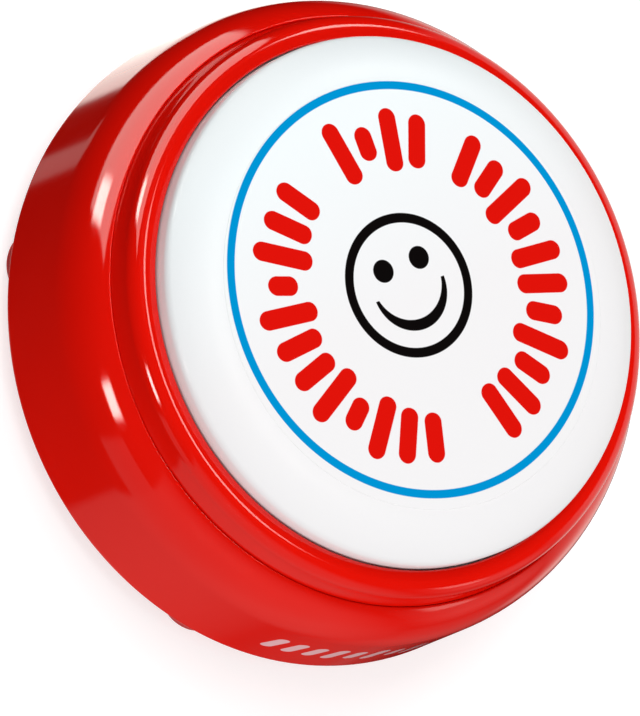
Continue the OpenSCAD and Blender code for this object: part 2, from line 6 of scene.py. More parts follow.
# %% Load the frame
import json
import math

import bpy
from mathutils import Matrix, Vector

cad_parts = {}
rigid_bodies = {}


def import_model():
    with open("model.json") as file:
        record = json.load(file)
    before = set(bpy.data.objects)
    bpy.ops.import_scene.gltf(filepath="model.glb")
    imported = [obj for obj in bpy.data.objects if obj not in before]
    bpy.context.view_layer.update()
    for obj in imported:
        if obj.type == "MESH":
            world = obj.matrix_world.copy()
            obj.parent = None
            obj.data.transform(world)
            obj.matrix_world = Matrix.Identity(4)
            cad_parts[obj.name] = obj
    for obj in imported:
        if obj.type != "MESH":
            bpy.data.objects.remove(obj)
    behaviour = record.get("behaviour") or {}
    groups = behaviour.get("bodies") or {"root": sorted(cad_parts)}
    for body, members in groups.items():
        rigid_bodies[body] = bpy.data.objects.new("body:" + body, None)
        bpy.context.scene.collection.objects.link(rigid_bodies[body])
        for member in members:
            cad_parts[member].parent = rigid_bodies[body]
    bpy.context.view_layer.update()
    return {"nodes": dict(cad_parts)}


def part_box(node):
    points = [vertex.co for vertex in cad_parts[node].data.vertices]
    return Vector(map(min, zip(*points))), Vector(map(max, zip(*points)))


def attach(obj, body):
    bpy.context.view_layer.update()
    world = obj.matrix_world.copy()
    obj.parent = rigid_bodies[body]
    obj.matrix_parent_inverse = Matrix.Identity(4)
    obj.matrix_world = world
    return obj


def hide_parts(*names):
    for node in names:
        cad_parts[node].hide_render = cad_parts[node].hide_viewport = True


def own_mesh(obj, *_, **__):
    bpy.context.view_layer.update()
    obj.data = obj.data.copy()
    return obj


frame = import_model()
for old in list(bpy.data.objects):
    if old.type in {"CAMERA", "LIGHT"} or old.name == "Cube":
        bpy.data.objects.remove(old)

# %% [markdown]
# Lengths are written in millimetres and turned into metres at the last moment. The heights of
# the seams come from the frame's own boxes, so the new surfaces meet the CAD parts that stay.

# %% Sizes
MM = 0.001


def mm_box(node):
    low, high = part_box(node)
    return [v / MM for v in low], [v / MM for v in high]


housing_low, housing_high = mm_box("upper_housing")
dome_high = mm_box("button_dome")[1]
ring_high = mm_box("trim_ring")[1]
plate_low = mm_box("base_plate")[0]
HOUSING_R = housing_high[0]
SKIRT_Z = housing_low[2]
CREASE_Z = SKIRT_Z + 21.4
DECK_TOP_Z = CREASE_Z - 1.2
DECK_Z = DECK_TOP_Z - 2
RING_TOP_Z = ring_high[2]
LIP_Z = RING_TOP_Z - 2
PLATE_Z = plate_low[2]
CREASE_R = HOUSING_R - 4.85
RING_R = ring_high[0]
DOME_R = 36.75
LABEL_R = mm_box("face_label")[1][0]
LABEL_T = 0.08
SOFT_EDGE = 0.09
print(f"housing radius {HOUSING_R:.2f}, crease at {CREASE_Z:.2f}, ring top at {RING_TOP_Z:.2f}")

# %% [markdown]
# Most of the outside is turned work: a round section swept once about the upright axis. By hand
# this is a single point, extruded along the outline and then spun. A function does those same
# steps, so each part below is only a list of corners with arcs between them.


# %% Outlines and turning
def arc(cx, cz, rx, rz, start, stop, steps):
    """Points along an ellipse about (cx, cz), with angles in degrees."""
    angles = [math.radians(start + (stop - start) * i / steps) for i in range(steps + 1)]
    return [(cx + rx * math.cos(a), cz + rz * math.sin(a)) for a in angles]


def deselect_everything():
    if bpy.context.object and bpy.context.object.mode != "OBJECT":
        bpy.ops.object.mode_set(mode="OBJECT")
    bpy.ops.object.select_all(action="DESELECT")


def turned(name, outline, steps=192, smooth_angle=32):
    """A closed ring or disc: the outline of (radius, height) corners in mm, spun a full turn."""
    deselect_everything()
    bpy.ops.mesh.primitive_plane_add(size=0.001)
    piece = bpy.context.object
    piece.name = name
    bpy.ops.object.mode_set(mode="EDIT")
    bpy.ops.mesh.merge(type="CENTER")
    first = Vector((outline[0][0], 0, outline[0][1])) * MM
    bpy.ops.transform.translate(value=first)
    here = first
    for radius, height in outline[1:] + outline[:1]:
        there = Vector((radius, 0, height)) * MM
        bpy.ops.mesh.extrude_region_move(TRANSFORM_OT_translate={"value": there - here})
        here = there
    bpy.ops.mesh.select_all(action="SELECT")
    bpy.ops.mesh.spin(steps=steps, angle=math.tau, center=(0, 0, 0), axis=(0, 0, 1))
    bpy.ops.mesh.select_all(action="SELECT")
    bpy.ops.mesh.remove_doubles(threshold=0.000004)
    bpy.ops.mesh.normals_make_consistent(inside=False)
    bpy.ops.mesh.dissolve_degenerate(threshold=0.000001)
    bpy.ops.object.mode_set(mode="OBJECT")
    bpy.ops.object.shade_smooth_by_angle(angle=math.radians(smooth_angle))
    print(f"{name}: {len(piece.data.polygons)} faces")
    return piece


# %% [markdown]
# Shader maths reads best as plain sums. This class wraps a socket of the node tree, and each
# operator adds the Math node that does it, so a pattern is written as a formula.


# %% Shader maths
class Value:
    """A number in a material's node tree that can be used in Python expressions."""

    def __init__(self, tree, socket):
        self.tree = tree
        self.socket = socket

    def math(self, operation, *others, clamp=False):
        node = self.tree.nodes.new("ShaderNodeMath")
        node.operation = operation
        node.use_clamp = clamp
        for slot, value in enumerate((self, *others)):
            if isinstance(value, Value):
                self.tree.links.new(value.socket, node.inputs[slot])
            else:
                node.inputs[slot].default_value = value
        return Value(self.tree, node.outputs[0])

    def __add__(self, other):
        return self.math("ADD", other)

    def __sub__(self, other):
        return self.math("SUBTRACT", other)

    def __mul__(self, other):
        return self.math("MULTIPLY", other)

    def __truediv__(self, other):
        return self.math("DIVIDE", other)

    def __rsub__(self, other):
        node = self.tree.nodes.new("ShaderNodeMath")
        node.operation = "SUBTRACT"
        node.inputs[0].default_value = other
        self.tree.links.new(self.socket, node.inputs[1])
        return Value(self.tree, node.outputs[0])

    def __abs__(self):
        return self.math("ABSOLUTE")

    def __neg__(self):
        return self * -1.0

    __radd__ = __add__
    __rmul__ = __mul__

    def highest(self, other):
        return self.math("MAXIMUM", other)

    def below(self, edge, soft):
        """1 where the value is under the edge and 0 above it, with a soft step."""
        return ((edge - self) / soft + 0.5).math("ADD", 0.0, clamp=True)


def length(a, b):
    """The length of a flat vector with the two given parts."""
    return (a * a + b * b).math("SQRT")


# %% [markdown]
# A finish is a Principled shader with a few patterns in front of it. This small bench holds the
# tree, hands out the object's own coordinates in millimetres, and adds noises, mixes and bumps.


# %% The finish bench
class Finish:
    """Builds one material. Colours are linear red, green, blue."""

    def __init__(self, name):
        self.material = bpy.data.materials.new(name)
        self.material.use_nodes = True
        self.tree = self.material.node_tree
        self.shader = self.tree.nodes["Principled BSDF"]
        place = self.tree.nodes.new("ShaderNodeTexCoord")
        self.place = place.outputs["Object"]

    def node(self, kind, settings=(), inputs=(), output=0):
        made = self.tree.nodes.new(kind)
        for key, value in dict(settings).items():
            setattr(made, key, value)
        for key, value in dict(inputs).items():
            self.feed(made.inputs[key], value)
        return made.outputs[output]

    def feed(self, socket, value):
        if isinstance(value, Value):
            self.tree.links.new(value.socket, socket)
        elif isinstance(value, bpy.types.NodeSocket):
            self.tree.links.new(value, socket)
        else:
            if hasattr(value, "__len__") and len(value) == 3 and socket.type == "RGBA":
                value = (*value, 1)
            socket.default_value = value

    def set(self, **values):
        for key, value in values.items():
            self.feed(self.shader.inputs[key.replace("_", " ")], value)
        return self

    def coordinates(self):
        """The object's x, y and z in millimetres."""
        split = self.tree.nodes.new("ShaderNodeSeparateXYZ")
        self.tree.links.new(self.place, split.inputs[0])
        return [Value(self.tree, out) * 1000.0 for out in split.outputs]

    def stretched(self, scale):
        return self.node("ShaderNodeMapping", {}, {"Vector": self.place, "Scale": scale})

    def noise(self, size_mm, detail=2, roughness=0.5, stretch=None):
        """Cloudy noise from 0 to 1 whose patches are about size_mm across."""
        place = self.stretched(stretch) if stretch else self.place
        inputs = {"Vector": place, "Scale": 1000 / size_mm}
        inputs.update({"Detail": detail, "Roughness": roughness})
        return Value(self.tree, self.node("ShaderNodeTexNoise", {}, inputs, "Fac"))

    def cells(self, size_mm):
        """Distance from the middle of small cells that are about size_mm across."""
        inputs = {"Vector": self.place, "Scale": 1000 / size_mm}
        return Value(self.tree, self.node("ShaderNodeTexVoronoi", {}, inputs, "Distance"))

    def mix(self, factor, first, second):
        made = self.tree.nodes.new("ShaderNodeMix")
        made.data_type = "RGBA"
        self.feed(made.inputs["Factor"], factor)
        self.feed(made.inputs[6], first)
        self.feed(made.inputs[7], second)
        return made.outputs[2]

    def bump(self, height, distance_mm):
        inputs = {"Height": height, "Distance": distance_mm * MM}
        return self.node("ShaderNodeBump", {}, inputs, "Normal")


def dress(piece, finish):
    """Gives a piece its finish as its one material, on every face."""
    piece.data.materials.clear()
    piece.data.materials.append(finish.material)
    for face in piece.data.polygons:
        face.material_index = 0


# %% [markdown]
# The red shells are glossy injection-moulded ABS. The colour is through and through, with a
# slight cloudiness, and the skin is almost a mirror with the faintest orange peel. Handling
# leaves very fine scuffs, which only change the roughness.


# %% Red gloss plastic
def red_gloss(name, colour, shade, gloss=0.075, peel_mm=0.004):
    made = Finish(name)
    cloud = made.noise(9, 3)
    scuff = made.noise(1.4, 4, 0.7, (1, 1, 0.12)).below(0.36, 0.08)
    made.set(
        Base_Color=made.mix(cloud, colour, shade),
        Roughness=gloss + 0.02 * made.noise(5, 3) + 0.035 * scuff,
        Normal=made.bump(made.noise(2.6, 1), peel_mm),
        IOR=1.5,
    )
    return made


RED = (0.765, 0.0055, 0.0015)
DEEP_RED = (0.72, 0.0048, 0.0012)
PALE_INK = (0.82, 0.45, 0.47)


# %% [markdown]
# The housing carries a short printed line low on its front wall. In its place stands a row of
# plain slanted bars in pale ink. They follow the wall by angle, so one formula draws them all.


# %% Housing finish with the printed bars
PRINT_Z = SKIRT_Z + 7.6
PRINT_PITCH = 3.2
PRINT_COUNT = 10
PRINT_SLANT = 0.25
PRINT_HALF_WIDTH = 0.82


def housing_finish():
    made = red_gloss("housing_red_abs", RED, DEEP_RED)
    x, y, z = made.coordinates()
    front = x.math("ARCTAN2", -y) * HOUSING_R
    up = z - PRINT_Z
    along = front - up * PRINT_SLANT
    step = (along / PRINT_PITCH).math("ROUND")
    across = along - step * PRINT_PITCH
    half = 0.8 + 1.0 * abs((step * 1.7 + 0.4).math("SINE"))
    beyond = (abs(up) - half).highest(0.0)
    bars = length(across, beyond).below(PRINT_HALF_WIDTH, SOFT_EDGE)
    bars = bars * abs(step).below(PRINT_COUNT + 0.5, 0.1)
    plain = made.shader.inputs["Base Color"].links[0].from_socket
    made.set(Base_Color=made.mix(bars, plain, PALE_INK))
    return made


# %% [markdown]
# The housing is a bell: a nearly upright wall that leans in slightly, an elliptical shoulder, and
# a rebate where the trim ring drops in. Inside, the wall turns into a deck that carries the dome's
# springs. It is one turned section, and four screw posts hang below the deck. The spring seats and
# the posts of the main board are left out.

# %% Housing
WALL = 2.2
SHOULDER_A = 6
SHOULDER_B = 9.4
BELT_R = HOUSING_R - 0.6
BELT_Z = SKIRT_Z + 12.3
inner_turn = math.degrees(math.asin((DECK_Z - BELT_Z) / (SHOULDER_B - WALL)))
EDGE = 0.18
edge_tilt = math.radians(58.4)
edge_x = CREASE_R + EDGE
shoulder_cos = (edge_x + EDGE * math.cos(edge_tilt) - BELT_R + SHOULDER_A) / SHOULDER_A
shoulder_stop = math.degrees(math.acos(shoulder_cos))
edge_z = BELT_Z + SHOULDER_B * math.sin(math.acos(shoulder_cos)) - EDGE * math.sin(edge_tilt)

housing_outline = (
    [(6.5, DECK_TOP_Z), (6.5, DECK_Z)]
    + arc(BELT_R - SHOULDER_A, BELT_Z, SHOULDER_A - WALL, SHOULDER_B - WALL, inner_turn, 0, 10)
    + [(HOUSING_R - WALL, SKIRT_Z)]
    + arc(HOUSING_R - 0.4, SKIRT_Z + 0.4, 0.4, 0.4, -90, 0, 5)
    + [(HOUSING_R - 0.015, SKIRT_Z + 0.7), (BELT_R, BELT_Z + 0.4)]
    + arc(BELT_R - SHOULDER_A, BELT_Z, SHOULDER_A, SHOULDER_B, 4.5, shoulder_stop, 36)[:-1]
    + arc(edge_x, edge_z, EDGE, EDGE, math.degrees(edge_tilt), 180, 8)
    + [(CREASE_R, DECK_TOP_Z)]
)
housing = turned("housing_shell", housing_outline)


def join_to(piece, others):
    deselect_everything()
    for other in others:
        other.select_set(True)
    piece.select_set(True)
    bpy.context.view_layer.objects.active = piece
    bpy.ops.object.join()
    return piece


def polar(radius, angle):
    return radius * math.cos(math.radians(angle)), radius * math.sin(math.radians(angle))


def moved_out(piece, radius, angle):
    """Moves a piece out from the axis and keeps the move in its mesh."""
    deselect_everything()
    piece.select_set(True)
    x, y = polar(radius, angle)
    bpy.ops.transform.translate(value=(x * MM, y * MM, 0))
    bpy.ops.object.transform_apply(location=True)
    return piece


POST_R = 3
PILOT_R = 1.27
PILOT_DEPTH = 8
POST_EDGE = 0.2
POST_RING_R = HOUSING_R - 7.6
POST_ANGLES = (55, 125, 250, 290)
POST_LOW_Z = PLATE_Z + 2.4
POST_HIGH_Z = DECK_Z + 0.1


def post(angle):
    """A moulded screw post with a blind pilot hole in its lower end."""
    outline = [(PILOT_R, POST_LOW_Z + POST_EDGE), (PILOT_R + POST_EDGE, POST_LOW_Z)]
    outline += [(POST_R - POST_EDGE, POST_LOW_Z), (POST_R, POST_LOW_Z + POST_EDGE)]
    outline += [(POST_R, POST_HIGH_Z), (0, POST_HIGH_Z)]
    outline += [(0, POST_LOW_Z + PILOT_DEPTH), (PILOT_R, POST_LOW_Z + PILOT_DEPTH)]
    return moved_out(turned("post", outline, steps=40), POST_RING_R, angle)


posts = [post(angle) for angle in POST_ANGLES]
join_to(housing, posts)
dress(housing, housing_finish())
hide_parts("upper_housing")
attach(housing, "base")

# %% [markdown]
# The trim ring hides the gap between housing and dome. Its outer edge is rounded over generously
# and its bore has only a tiny radius, so the light draws a bright line along the crown of it.

# %% Trim ring
BORE_R = DOME_R + 0.25
BORE_EDGE = 0.25
CHAMBER_R = DOME_R + 1.95
RING_ROUND = 2.2
SEAT_R = CREASE_R - 0.04
ROUND_R = RING_R - 0.4 - RING_ROUND

ring_outline = (
    [(CHAMBER_R, DECK_TOP_Z + 0.02), (SEAT_R, DECK_TOP_Z + 0.02), (SEAT_R, CREASE_Z - 0.3)]
    + [(SEAT_R - 0.03, CREASE_Z - 0.1), (RING_R - 0.22, CREASE_Z + 1.0)]
    + arc(ROUND_R, RING_TOP_Z - RING_ROUND, RING_ROUND, RING_ROUND, 0, 90, 20)
    + arc(BORE_R + BORE_EDGE, RING_TOP_Z - BORE_EDGE, BORE_EDGE, BORE_EDGE, 90, 180, 6)
    + [(BORE_R, LIP_Z), (CHAMBER_R, LIP_Z)]
)
ring = turned("trim_ring_turned", ring_outline)
dress(ring, red_gloss("ring_red_abs", RED, DEEP_RED, 0.06))
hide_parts("trim_ring")
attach(ring, "base")

# %% [markdown]
# The dome is a satin white moulding. Its top is nearly flat, so a printed disc lies well on it.
# From there a rounded shoulder falls to an upright side wall, and a flange below the ring's lip
# keeps the dome from coming out. Each arc starts where the last one ends, at the same slope. This
# is the shell alone, without the ribs, spring seats and pad post under the real one.

# %% Dome
CROWN_R = 600
CROWN_EDGE_R = 30
SHOULDER_R = 10.5
DOME_EDGE = 1.6
DOME_WALL = 1.8
DOME_SIDE_Z = RING_TOP_Z + 1.54
FLANGE_R = CHAMBER_R - 0.4
FLANGE_TOP_Z = LIP_Z - 0.1
crown_tilt = math.asin(CROWN_EDGE_R / CROWN_R)
BEND_X = CROWN_EDGE_R - SHOULDER_R * math.sin(crown_tilt)
bend_tilt = math.asin((DOME_R - DOME_EDGE - BEND_X) / (SHOULDER_R - DOME_EDGE))
BEND_Z = DOME_SIDE_Z - (SHOULDER_R - DOME_EDGE) * math.cos(bend_tilt)
CROWN_CENTRE_Z = BEND_Z - (CROWN_R - SHOULDER_R) * math.cos(crown_tilt)


def skin(radius, depth=0.0):
    """Height of the dome's skin at a distance from the axis, depth below the outer skin."""
    if radius <= (CROWN_R - depth) * math.sin(crown_tilt):
        return CROWN_CENTRE_Z + math.sqrt((CROWN_R - depth) ** 2 - radius**2)
    return BEND_Z + math.sqrt((SHOULDER_R - depth) ** 2 - (radius - BEND_X) ** 2)


def skin_line(start, stop, depth, steps):
    radii = [start + (stop - start) * i / steps for i in range(steps + 1)]
    return [(radius, skin(radius, depth)) for radius in radii]


rim = DOME_R - DOME_WALL
edge_stop = 90 - math.degrees(bend_tilt)
dome_outline = (
    [(rim, FLANGE_TOP_Z - 1.5), (FLANGE_R, FLANGE_TOP_Z - 1.5)]
    + [(FLANGE_R, FLANGE_TOP_Z), (DOME_R, FLANGE_TOP_Z)]
    + arc(DOME_R - DOME_EDGE, DOME_SIDE_Z, DOME_EDGE, DOME_EDGE, 0, edge_stop, 12)[:-1]
    + arc(BEND_X, BEND_Z, SHOULDER_R, SHOULDER_R, edge_stop, 90 - math.degrees(crown_tilt), 24)[:-1]
    + skin_line(CROWN_EDGE_R, 0, 0, 12)
    + skin_line(0, CROWN_EDGE_R - 0.2, DOME_WALL, 8)
    + skin_line(CROWN_EDGE_R + 0.3, rim, DOME_WALL, 12)
)
dome = turned("dome_shell", dome_outline)
print(f"dome top at {skin(0):.2f} mm, frame says {dome_high[2]:.2f} mm")

# %% [markdown]
# The satin white turns slowly from neutral at the front to a lighter, cooler white at the back:
# painted light, where the lamps behind fall on it. A fine grain takes the mirror edge off the
# highlights.


# %% Dome finish
def white_with_painted_back_light(made):
    """Neutral white over the front half, painted lighter and cooler towards the back as painted
    light.
    """
    _, y, _ = made.coordinates()
    # Painted light: the white is painted lighter and cooler towards the back, where the lamps
    # behind fall on it.
    painted_back_light = 1.0 - (y + 4.0 * made.noise(14, 2)).below(14.0, 26.0)
    return made.mix(painted_back_light, (0.832, 0.822, 0.829), (0.832, 0.880, 0.892))


def dome_finish():
    made = Finish("dome_white_satin")
    made.set(
        Base_Color=white_with_painted_back_light(made),
        Roughness=0.30 + 0.05 * made.noise(3, 3),
        Normal=made.bump(made.noise(0.5, 2), 0.003),
        Specular_IOR_Level=0.2,
    )
    return made


dress(dome, dome_finish())
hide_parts("button_dome")
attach(dome, "dome")

# %% [markdown]
# The label is a printed disc of film. The artwork is drawn with distances: a ring is where the
# distance from the centre lies near a radius, a rounded bar is where the distance from a short
# line is small. Everything is worked out in millimetres on the disc.

# %% Label
label_outline = skin_line(0, LABEL_R, -0.005, 16) + skin_line(LABEL_R - 0.1, 0, -LABEL_T, 16)
label = turned("label_disc", label_outline, smooth_angle=20)

LABEL_TURN = 4
BLUE_RING = (27.7, 28.85)
FACE_RING = (8.65, 10.0)
BAR_R = 20.6
BAR_HALF_WIDTH = 1.35
BAR_PITCH = 11.5
BAR_GROUPS = ((-107, 12), (98, 4), (41, 11))
ART_SHIFT = 0.75
FACE_SHIFT = (-0.9, 0.65)
BLUE_INK = (0.0, 0.27, 0.60)
RED_INK = (0.68, 0.006, 0.003)
BLACK_INK = (0.004, 0.003, 0.003)


def ring_mask(distance, inner, outer):
    middle = (inner + outer) / 2
    return abs(distance - middle).below((outer - inner) / 2, SOFT_EDGE)


def bar_group(angle, distance, start, count):
    """Rounded bars that run clockwise from the start angle, each with its own length."""
    clockwise = (start - angle).math("FLOORED_MODULO", 360.0)
    turn = (clockwise + BAR_PITCH / 2).math("FLOORED_MODULO", 360.0) - BAR_PITCH / 2
    step = (turn / BAR_PITCH).math("ROUND")
    across = distance * (turn - step * BAR_PITCH) * (math.pi / 180)
    half = 0.9 + 2.4 * abs((step * 1.9 + 0.7 + start).math("SINE"))
    beyond = (abs(distance - BAR_R) - half).highest(0.0)
    shape = length(across, beyond).below(BAR_HALF_WIDTH, SOFT_EDGE)
    return shape * abs(step - (count - 1) / 2).below(count / 2, 0.1)


def label_finish():
    made = Finish("label_print")
    x, y, _ = made.coordinates()
    turn = math.radians(LABEL_TURN)
    u = x * math.cos(turn) - y * math.sin(turn)
    v = x * math.sin(turn) + y * math.cos(turn) - ART_SHIFT
    distance = length(u, v)
    angle = v.math("ARCTAN2", u) * (180 / math.pi)
    blue = ring_mask(distance, *BLUE_RING)
    bars = bar_group(angle, distance, *BAR_GROUPS[0])
    for group in BAR_GROUPS[1:]:
        bars = bars.highest(bar_group(angle, distance, *group))
    u = u - FACE_SHIFT[0]
    v = v - FACE_SHIFT[1]
    black = ring_mask(length(u, v), *FACE_RING)
    for eye_x, eye_y in ((-3.05, 3.0), (3.1, 3.0)):
        black = black.highest(length(u - eye_x, v - eye_y).below(1.6, SOFT_EDGE))
    smile = length(u + 0.1, v + 0.4).below(5.9, SOFT_EDGE) * v.below(-0.5, SOFT_EDGE)
    smile = smile * (1.0 - length(u + 0.1, v - 0.74).below(5.49, SOFT_EDGE))
    black = black.highest(smile)
    # The film's white carries the same painted light, lighter and cooler towards the back.
    colour = made.mix(blue, white_with_painted_back_light(made), BLUE_INK)
    colour = made.mix(bars, colour, RED_INK)
    colour = made.mix(black, colour, BLACK_INK)
    ink = blue.highest(bars).highest(black)
    made.set(
        Base_Color=colour,
        Roughness=0.30 + 0.05 * made.noise(2, 3) - 0.03 * ink,
        Normal=made.bump(made.noise(0.7, 2) * 0.5 + ink, 0.004),
        Specular_IOR_Level=0,
    )
    return made


dress(label, label_finish())
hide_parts("face_label")
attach(label, "dome")

# %% [markdown]
# Four soft feet lift the base plate off the table. Each is a moulded button of rubber with a
# shallow cup underneath, which helps it to grip.

# %% Rubber feet
FOOT_R = 5.7
FOOT_RING_R = HOUSING_R - 0.6 - FOOT_R - 0.1
FOOT_ANGLES = (38, 142, 218, 322)
FOOT_TOP_Z = PLATE_Z + 0.55


def foot(angle):
    outline = [(0, 0.35), (2.4, 0.3), (2.9, 0.02), (3.0, 0)]
    outline += arc(FOOT_R - 1.0, 1.0, 1.0, 1.0, -90, 0, 10)
    outline += [(FOOT_R, FOOT_TOP_Z), (0, FOOT_TOP_Z)]
    return moved_out(turned("foot", outline, steps=64), FOOT_RING_R, angle)


feet = [foot(angle) for angle in FOOT_ANGLES]
feet_piece = join_to(feet[0], feet[1:])
feet_piece.name = "rubber_feet_moulded"


def soft_rubber(name, colour, darker, grain_mm=0.35):
    made = Finish(name)
    made.set(
        Base_Color=made.mix(made.noise(3, 3), colour, darker),
        Roughness=0.55 + 0.15 * made.noise(1.2, 3),
        Normal=made.bump(made.noise(grain_mm, 2), 0.02),
        IOR=1.5,
    )
    return made


foot_rubber = soft_rubber("foot_red_rubber", (0.52, 0.010, 0.008), (0.44, 0.008, 0.007))
dress(feet_piece, foot_rubber)
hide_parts("rubber_feet")
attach(feet_piece, "base")

# %% [markdown]
# The parts that stay as CAD solids get finishes too. Bare metal is brushed or plated, circuit
# boards show their tracks under the solder mask, and moulded resin is faintly grainy.


# %% Finishes of the inner and lower parts
def satin_plastic(name, colour, darker, rough=0.34, grain_mm=0.45, depth_mm=0.012):
    made = Finish(name)
    made.set(
        Base_Color=made.mix(made.noise(7, 3), colour, darker),
        Roughness=rough + 0.08 * made.noise(1.5, 3),
        Normal=made.bump(made.noise(grain_mm, 2, 0.6), depth_mm),
        IOR=1.5,
    )
    return made


def plated_metal(name, colour, darker, rough=0.24, stretch=(1, 1, 8)):
    made = Finish(name)
    grain = made.noise(0.5, 3, 0.6, stretch)
    made.set(
        Base_Color=made.mix(made.noise(2.5, 3), colour, darker),
        Metallic=1.0,
        Roughness=rough + 0.16 * grain,
        Normal=made.bump(grain, 0.006),
    )
    return made


def board_finish():
    made = Finish("board_solder_mask")
    x, y, _ = made.coordinates()
    lane = abs((x * 0.55 + (y * 0.5).math("SINE") * 0.4).math("FRACT") - 0.5)
    rung = abs((y * 0.42).math("FRACT") - 0.5)
    patches = made.noise(6, 1).below(0.48, 0.02)
    tracks = lane.below(0.13, 0.04).highest(rung.below(0.09, 0.03) * patches)
    weave = made.noise(0.6, 2)
    made.set(
        Base_Color=made.mix(tracks, (0.010, 0.115, 0.045), (0.030, 0.215, 0.085)),
        Roughness=0.28 + 0.08 * weave,
        Normal=made.bump(tracks + weave * 0.2, 0.03),
    )
    return made


def foam_finish(name, colour, darker):
    made = Finish(name)
    pores = made.cells(0.55)
    made.set(
        # Each pore is painted darker towards its middle: painted shade in the hollow that the bump
        # makes.
        Base_Color=made.mix(pores, darker, colour),
        Roughness=0.9 + 0.05 * pores,
        Normal=made.bump(pores, 0.12),
    )
    return made


def cell_finish():
    """Dark film round the cell, a coloured band at one end, bare nickel at both ends."""
    made = Finish("cell_jacket_film")
    x = made.coordinates()[0]
    bare = 1.0 - abs(x).below(21.6, 0.2)
    band = abs(abs(x) - 17.5).below(2.2, 0.1)
    colour = made.mix(band, (0.030, 0.032, 0.038), (0.55, 0.30, 0.06))
    made.set(
        Base_Color=made.mix(bare, colour, (0.66, 0.66, 0.65)),
        Metallic=bare,
        Roughness=0.24 + 0.06 * made.noise(2, 2),
        Normal=made.bump(made.noise(0.8, 2), 0.006),
    )
    return made


def cone_finish():
    made = Finish("speaker_cone_pulp")
    x, y, _ = made.coordinates()
    fibre = made.noise(0.7, 4, 0.7)
    radius = length(x, y - 19.5)
    ribs = (radius * 3.1).math("SINE")
    made.set(
        Base_Color=made.mix(fibre, (0.030, 0.026, 0.022), (0.055, 0.048, 0.040)),
        Roughness=0.72 + 0.12 * fibre,
        Normal=made.bump(ribs * 0.5 + fibre, 0.05),
    )
    return made


def wire_finish(name, first, second, axis, middle):
    """Two insulated leads side by side. The lead on one side of the middle is the other colour."""
    made = Finish(name)
    side = made.coordinates()[axis].below(middle, 0.1)
    made.set(
        Base_Color=made.mix(side, first, second),
        Roughness=0.38 + 0.08 * made.noise(1, 2),
        Normal=made.bump(made.noise(0.5, 2), 0.01),
    )
    return made


BASE_RED = (0.62, 0.010, 0.006)
BASE_DEEP_RED = (0.56, 0.008, 0.005)
LEAD_BLACK = (0.015, 0.015, 0.017)
LEAD_RED = (0.50, 0.02, 0.015)
LEAD_WHITE = (0.75, 0.74, 0.70)
LEAD_BLUE = (0.03, 0.12, 0.50)
base_red = satin_plastic("base_red_satin", BASE_RED, BASE_DEEP_RED, 0.30)
zinc = plated_metal("screw_zinc", (0.62, 0.62, 0.60), (0.50, 0.50, 0.49))
spring_wire = plated_metal("spring_wire", (0.66, 0.66, 0.67), (0.54, 0.54, 0.56), 0.18, (6, 6, 1))
nickel = plated_metal("terminal_nickel", (0.70, 0.69, 0.66), (0.60, 0.59, 0.57), 0.22)
resin = satin_plastic("black_resin", (0.018, 0.018, 0.020), (0.012, 0.012, 0.013), 0.42, 0.3, 0.02)
natural = satin_plastic("stem_nylon", (0.70, 0.69, 0.65), (0.64, 0.63, 0.60), 0.40)
board = board_finish()

node_finishes = {
    "base_plate": base_red,
    "battery_door": base_red,
    "plunger_pad": soft_rubber("pad_elastomer", (0.24, 0.25, 0.27), (0.19, 0.20, 0.22)),
    "return_springs": spring_wire,
    "battery_springs": spring_wire,
    "case_screws": zinc,
    "battery_door_screw": zinc,
    "board_screws": zinc,
    "speaker_clamp_screws": zinc,
    "record_board_screws": zinc,
    "battery_door_foam": foam_finish("door_foam", (0.055, 0.055, 0.060), (0.020, 0.020, 0.022)),
    "speaker_gasket": foam_finish("gasket_foam", (0.050, 0.050, 0.052), (0.018, 0.018, 0.020)),
    "battery_cell_front": cell_finish(),
    "battery_cell_rear": cell_finish(),
    "battery_terminals": nickel,
    "main_board": board,
    "record_board": board,
    "sound_chip": resin,
    "board_capacitors": resin,
    "board_resistors": resin,
    "play_switch_body": resin,
    "record_switch_body": resin,
    "play_switch_stem": natural,
    "record_switch_stem": natural,
    "speaker_basket": plated_metal("basket_steel", (0.55, 0.56, 0.57), (0.44, 0.45, 0.46), 0.30),
    "speaker_magnet": plated_metal("magnet_cup", (0.42, 0.43, 0.44), (0.34, 0.35, 0.36), 0.26),
    "speaker_cone": cone_finish(),
    "microphone_capsule": plated_metal("capsule_can", (0.72, 0.72, 0.73), (0.62, 0.62, 0.63), 0.2),
    "microphone_boot": soft_rubber("boot_rubber", (0.040, 0.040, 0.043), (0.026, 0.026, 0.028)),
    "record_button": satin_plastic(
        "record_key_grey", (0.045, 0.047, 0.052), (0.034, 0.036, 0.040), 0.44, 0.25, 0.02
    ),
    "speaker_wires": wire_finish("speaker_leads", LEAD_BLACK, LEAD_RED, 0, -11.2),
    "battery_wires": wire_finish("battery_leads", LEAD_BLACK, LEAD_RED, 0, 26.0),
    "record_wires": wire_finish("record_leads", LEAD_WHITE, LEAD_BLUE, 1, 5.0),
}
for node, finish in node_finishes.items():
    dress(frame["nodes"][node], finish)
print(len(node_finishes), "CAD nodes carry a finish of their own")

# %% [markdown]
# The three return springs stand on the deck. They get a mesh of their own. The figures for
# squashing them by the dome's travel are handed to own_mesh but not used, so they keep their length
# as the dome comes down. The seats that bridge the gap from their upper ends to the real dome's
# underside aren't modelled here.

# %% Springs under the dome
PRESS_TRAVEL = 1.8
springs_top = mm_box("return_springs")[1][2]
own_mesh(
    frame["nodes"]["return_springs"],
    "dome_press",
    axis=(0, 0, 1),
    anchor=(0, 0, DECK_TOP_Z * MM),
    keep=1 - PRESS_TRAVEL / (springs_top - DECK_TOP_Z),
)
print(f"springs reach up to {springs_top:.2f} mm")

# %% [markdown]
# The set is a plain pale floor that turns to a light grey further out, so that the white dome
# stands clear of it when it is seen from low down. It shows from above only, which leaves the
# underside in view from below, and it isn't mirrored in the gloss parts.

